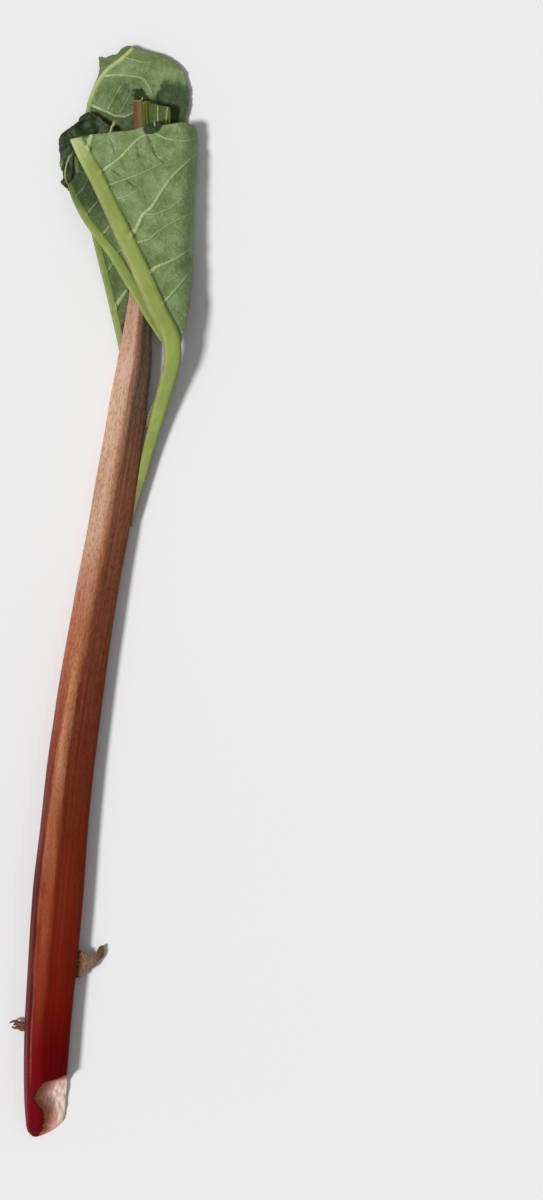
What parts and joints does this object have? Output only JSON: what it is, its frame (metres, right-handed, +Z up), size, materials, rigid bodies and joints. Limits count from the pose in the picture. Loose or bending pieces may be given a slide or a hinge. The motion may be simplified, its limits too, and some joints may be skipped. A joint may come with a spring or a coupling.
{
  "type": "rhubarb stalk",
  "caption": "Long ribbed leaf stem, red at its torn base and tan towards a folded, trimmed green leaf with thick pale veins, lying flat as picked for cooking.",
  "frame": {"origin": "middle of the object's box, on the surface that it lies on", "axes": "+Y runs along the stalk from the torn base towards the leaf, +Z is up from the surface, +X is to the right of the stalk with the base near you"},
  "size_m": [0.066, 0.4918, 0.0189],
  "materials": {
    "stalk_skin": "semi-gloss plant skin, crimson at the base, red-brown to tan above, with fine lengthwise streaks; the torn base is cream and pink",
    "leaf_underside": "matt sage green leaf with raised yellow-green veins",
    "leaf_upper_side": "dark green crumpled leaf, glossy at its bruised margin, with a pale vein",
    "dry_sheath": "dry brown papery plant skin"
  },
  "bodies": {
    "root": {"stalk": "stalk_skin", "front_leaf_lobe": "leaf_underside", "side_leaf_lobe": "leaf_underside", "outer_leaf_lobe": "leaf_upper_side", "back_leaf_lobe": "leaf_underside", "midrib_leaf_strip": "leaf_underside", "dry_sheath_flap": "dry_sheath", "dry_sheath_wisp": "dry_sheath"}
  },
  "joints": []
}
